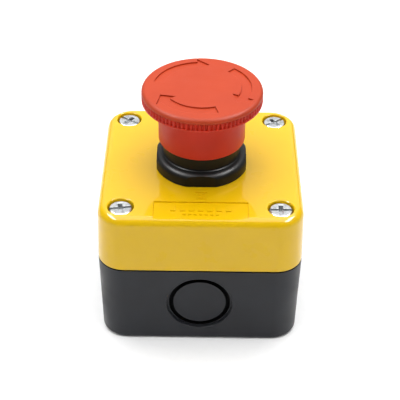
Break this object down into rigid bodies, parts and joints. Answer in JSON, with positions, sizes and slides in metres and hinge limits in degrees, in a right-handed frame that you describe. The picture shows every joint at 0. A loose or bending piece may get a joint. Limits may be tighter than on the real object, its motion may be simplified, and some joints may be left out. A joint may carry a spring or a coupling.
{
  "type": "emergency stop button",
  "caption": "Square yellow and dark grey surface-mount enclosure with a red mushroom push button, pushed to stop and twisted clockwise to release",
  "frame": {"origin": "centre of the enclosure's flat back face", "axes": "+Z from the back face out through the button; -Y towards one knock-out cable entry, +Y towards the other"},
  "size_m": [0.068, 0.068, 0.081],
  "materials": {
    "yellow_cover": "satin moulded",
    "grey_box": "fine matt moulded",
    "red_head": "satin moulded",
    "black_bezel": "satin moulded",
    "grey_plastic": "moulded",
    "white_plastic": "moulded",
    "red_slider": "moulded",
    "seal_rubber": "matt",
    "plated_steel": "zinc plated",
    "spring_steel": "drawn wire",
    "copper_alloy": "stamped",
    "silver_tip": "polished"
  },
  "bodies": {
    "enclosure": {"rear_box": "grey_box", "front_cover": "yellow_cover", "cover_gasket": "seal_rubber", "cover_screws": "plated_steel", "screw_seal_rings": "seal_rubber", "bezel_ring": "black_bezel", "panel_seal": "seal_rubber", "operator_barrel": "grey_plastic", "fixing_nut": "grey_plastic", "contact_housing": "grey_plastic", "contact_side_cover": "grey_plastic", "fixed_contacts": "copper_alloy", "fixed_tips": "silver_tip", "terminal_screws": "plated_steel", "terminal_clamps": "plated_steel", "block_fixing_screws": "plated_steel"},
    "plunger": {"plunger_sleeve": "white_plastic", "plunger_seal": "seal_rubber", "return_spring": "spring_steel", "twist_spring": "spring_steel"},
    "head": {"mushroom_skirt": "red_head", "mushroom_cap": "red_head", "twist_spindle": "white_plastic", "spindle_clip": "spring_steel"},
    "left_pawl": {"latch_pawl_left": "plated_steel"},
    "right_pawl": {"latch_pawl_right": "plated_steel"},
    "contact_carrier": {"contact_slider": "red_slider", "bridge_contact": "copper_alloy", "bridge_tips": "silver_tip", "bridge_spring": "spring_steel"}
  },
  "joints": [
    {"name": "button_press", "type": "slide", "parent": "enclosure", "child": "plunger", "axis": [0, 0, -1], "range_m": [0, 0.0045], "stiffness_N_per_m": 2500, "springref_m": -0.003, "deforming": ["return_spring"]},
    {"name": "head_twist", "type": "hinge", "parent": "plunger", "child": "head", "pos_m": [0, 0, 0.07], "axis": [0, 0, 1], "range_deg": [-40, 0], "stiffness_Nm_per_rad": 0.08, "springref_deg": 20.05},
    {"name": "left_pawl_slide", "type": "slide", "parent": "plunger", "child": "left_pawl", "axis": [1, 0, 0], "range_m": [0, 0.0006]},
    {"name": "right_pawl_slide", "type": "slide", "parent": "plunger", "child": "right_pawl", "axis": [-1, 0, 0], "range_m": [0, 0.0006]},
    {"name": "contact_slide", "type": "slide", "parent": "enclosure", "child": "contact_carrier", "axis": [0, 0, -1], "range_m": [0, 0.0045], "deforming": ["bridge_spring"]}
  ],
  "couplings": [
    {"joint": "left_pawl_slide", "follows": "head_twist", "m_per_rad": -0.00085944},
    {"joint": "right_pawl_slide", "follows": "head_twist", "m_per_rad": -0.00085944},
    {"joint": "contact_slide", "follows": "button_press", "ratio": 1}
  ]
}
